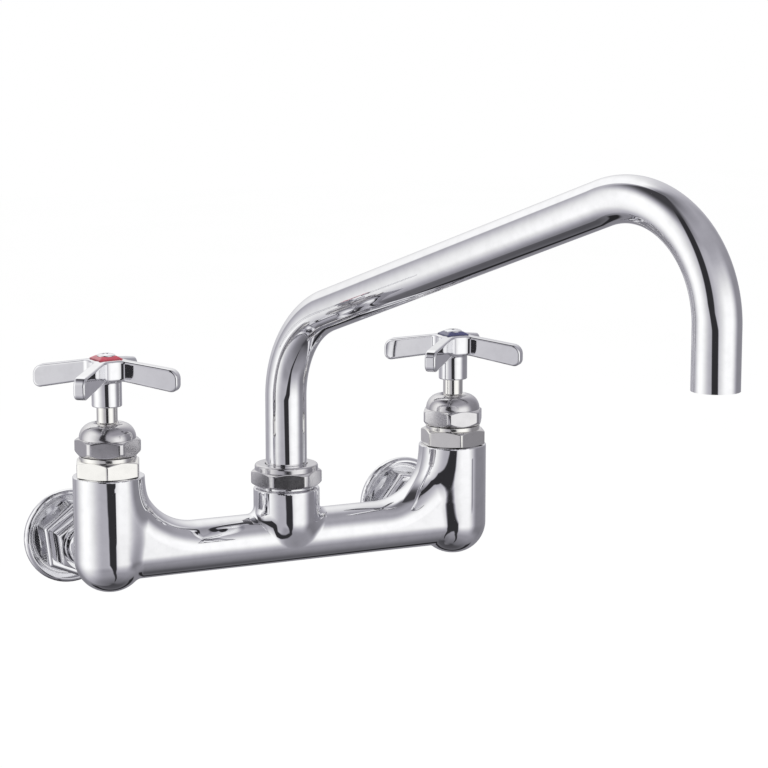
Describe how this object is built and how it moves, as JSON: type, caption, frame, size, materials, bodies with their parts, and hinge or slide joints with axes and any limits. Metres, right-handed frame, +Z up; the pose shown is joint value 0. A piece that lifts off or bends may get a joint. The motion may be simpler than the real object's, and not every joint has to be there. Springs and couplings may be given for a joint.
{
  "type": "wall faucet",
  "caption": "Wall-mounted kitchen faucet: cast bridge body, two four-arm valve handles, swivel gooseneck spout and two threaded wall flanges.",
  "frame": {"origin": "on the wall, midway between the two supply inlets, at the height of their axes", "axes": "+X to the right as one faces the faucet, -Y out from the wall, +Z up"},
  "size_m": [0.2657, 0.3732, 0.2394],
  "materials": {
    "cast_chrome": "polished casting, bright chrome plate",
    "tube_chrome": "bright chrome plate on drawn tube",
    "handle_chrome": "bright chrome plate, softly polished flats",
    "nut_chrome": "chrome over fine turned faces",
    "bonnet_nickel": "milled flats under thin plate",
    "stem_chrome": "turned and plated",
    "flange_chrome": "stamped and plated",
    "screw_steel": "plated screw",
    "brass": "bare turned brass",
    "rubber": "black rubber",
    "fibre": "red-brown fibre",
    "packing": "pressed packing rings",
    "nylon": "white plastic",
    "hot_index": "red index ring",
    "cold_index": "dark blue index ring"
  },
  "bodies": {
    "root": {"faucet_body": "cast_chrome", "spout_nut": "nut_chrome", "spout_slip_ring": "nylon", "hot_bonnet": "bonnet_nickel", "hot_bonnet_gasket": "fibre", "hot_packing_nut": "nut_chrome", "hot_packing_washer": "brass", "hot_stem_packing": "packing", "hot_valve_seat": "brass", "hot_inlet_tailpiece": "stem_chrome", "hot_coupling_nut": "nut_chrome", "hot_coupling_washer": "rubber", "hot_wall_flange": "flange_chrome", "cold_bonnet": "bonnet_nickel", "cold_bonnet_gasket": "fibre", "cold_packing_nut": "nut_chrome", "cold_packing_washer": "brass", "cold_stem_packing": "packing", "cold_valve_seat": "brass", "cold_inlet_tailpiece": "stem_chrome", "cold_coupling_nut": "nut_chrome", "cold_coupling_washer": "rubber", "cold_wall_flange": "flange_chrome"},
    "spout": {"spout_tube": "tube_chrome", "spout_ferrule": "brass", "spout_o_rings": "rubber"},
    "hot_disc": {"hot_disc_holder": "brass", "hot_seat_washer": "rubber", "hot_washer_screw": "brass"},
    "hot_stem": {"hot_spindle": "stem_chrome", "hot_handle": "handle_chrome", "hot_index_ring": "hot_index", "hot_handle_screw": "screw_steel"},
    "cold_disc": {"cold_disc_holder": "brass", "cold_seat_washer": "rubber", "cold_washer_screw": "brass"},
    "cold_stem": {"cold_spindle": "stem_chrome", "cold_handle": "handle_chrome", "cold_index_ring": "cold_index", "cold_handle_screw": "screw_steel"}
  },
  "joints": [
    {"name": "spout_swing", "type": "hinge", "parent": "root", "child": "spout", "pos_m": [0, -0.067, 0.0454], "axis": [0, 0, 1], "range_deg": [-112.5, 83.5]},
    {"name": "hot_lift", "type": "slide", "parent": "root", "child": "hot_disc", "axis": [0, 0, 1], "range_m": [0, 0.003]},
    {"name": "hot_turn", "type": "hinge", "parent": "hot_disc", "child": "hot_stem", "pos_m": [-0.1016, -0.067, 0.0454], "axis": [0, 0, -1], "range_deg": [0, 360]},
    {"name": "cold_lift", "type": "slide", "parent": "root", "child": "cold_disc", "axis": [0, 0, 1], "range_m": [0, 0.003]},
    {"name": "cold_turn", "type": "hinge", "parent": "cold_disc", "child": "cold_stem", "pos_m": [0.1016, -0.067, 0.0454], "axis": [0, 0, 1], "range_deg": [0, 360]}
  ],
  "couplings": [
    {"joint": "hot_lift", "follows": "hot_turn", "m_per_rad": 0.00047746},
    {"joint": "cold_lift", "follows": "cold_turn", "m_per_rad": 0.00047746}
  ]
}
